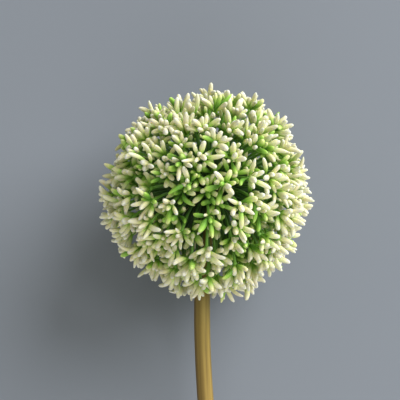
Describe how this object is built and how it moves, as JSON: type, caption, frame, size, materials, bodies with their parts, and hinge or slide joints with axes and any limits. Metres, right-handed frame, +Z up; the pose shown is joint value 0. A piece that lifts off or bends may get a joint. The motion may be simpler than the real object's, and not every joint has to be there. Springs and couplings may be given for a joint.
{
  "type": "giant allium flower head",
  "caption": "Round allium flower head in bud, with cream buds in stars on thin green rays, picked with a length of bare stem and lying on a table.",
  "frame": {"origin": "on the table, under the middle of the flower's bounding box", "axes": "+Y along the stem from the cut end to the head's top, as seen from above; +Z up from the table; +X to the right, seen from above with the head at the top"},
  "size_m": [0.1484, 0.3265, 0.1447],
  "materials": {
    "stem_skin": "satin",
    "buds": "satin"
  },
  "bodies": {
    "root": {"stem": "stem_skin", "umbel": "buds"}
  },
  "joints": []
}
